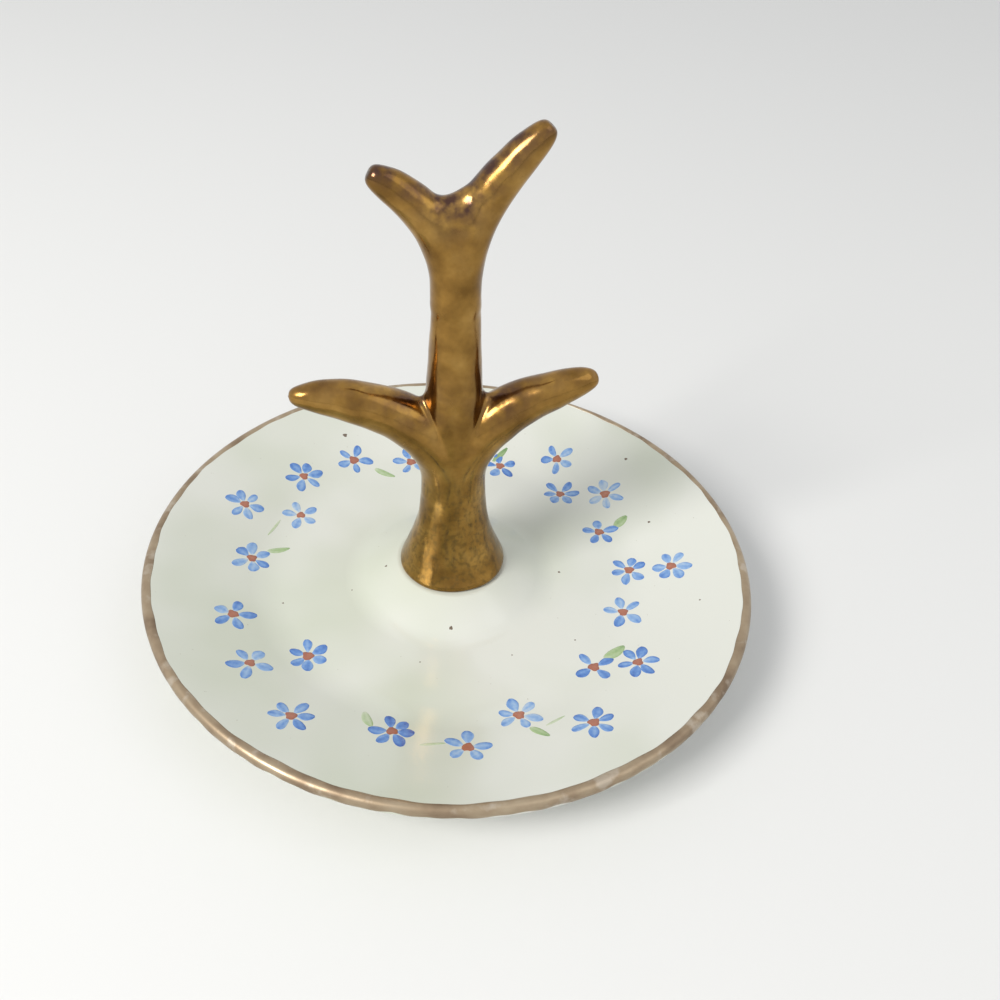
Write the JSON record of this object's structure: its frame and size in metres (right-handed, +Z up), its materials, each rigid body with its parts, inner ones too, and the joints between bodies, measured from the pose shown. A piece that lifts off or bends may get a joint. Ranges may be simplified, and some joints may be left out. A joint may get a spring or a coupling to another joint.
{
  "type": "ring dish",
  "caption": "Shallow round porcelain dish on a low foot ring, with a branching gilded ring tree standing in its middle to hold rings.",
  "frame": {"origin": "middle of the face that the foot ring stands on", "axes": "+Z up along the dish's axis; the tree's arms and tines lie in the XZ plane, with +X towards the shorter arm and the taller tine"},
  "size_m": [0.095, 0.095, 0.0797],
  "materials": {
    "glaze": "gloss",
    "biscuit": "matte",
    "gilt": "burnished gold, worn",
    "worn_gilt": "worn gold"
  },
  "bodies": {
    "root": {"dish": "glaze", "foot_ring": "biscuit", "lip_gilding": "worn_gilt", "trunk": "gilt", "left_arm": "gilt", "right_arm": "gilt", "left_tine": "gilt", "right_tine": "gilt"}
  },
  "joints": []
}
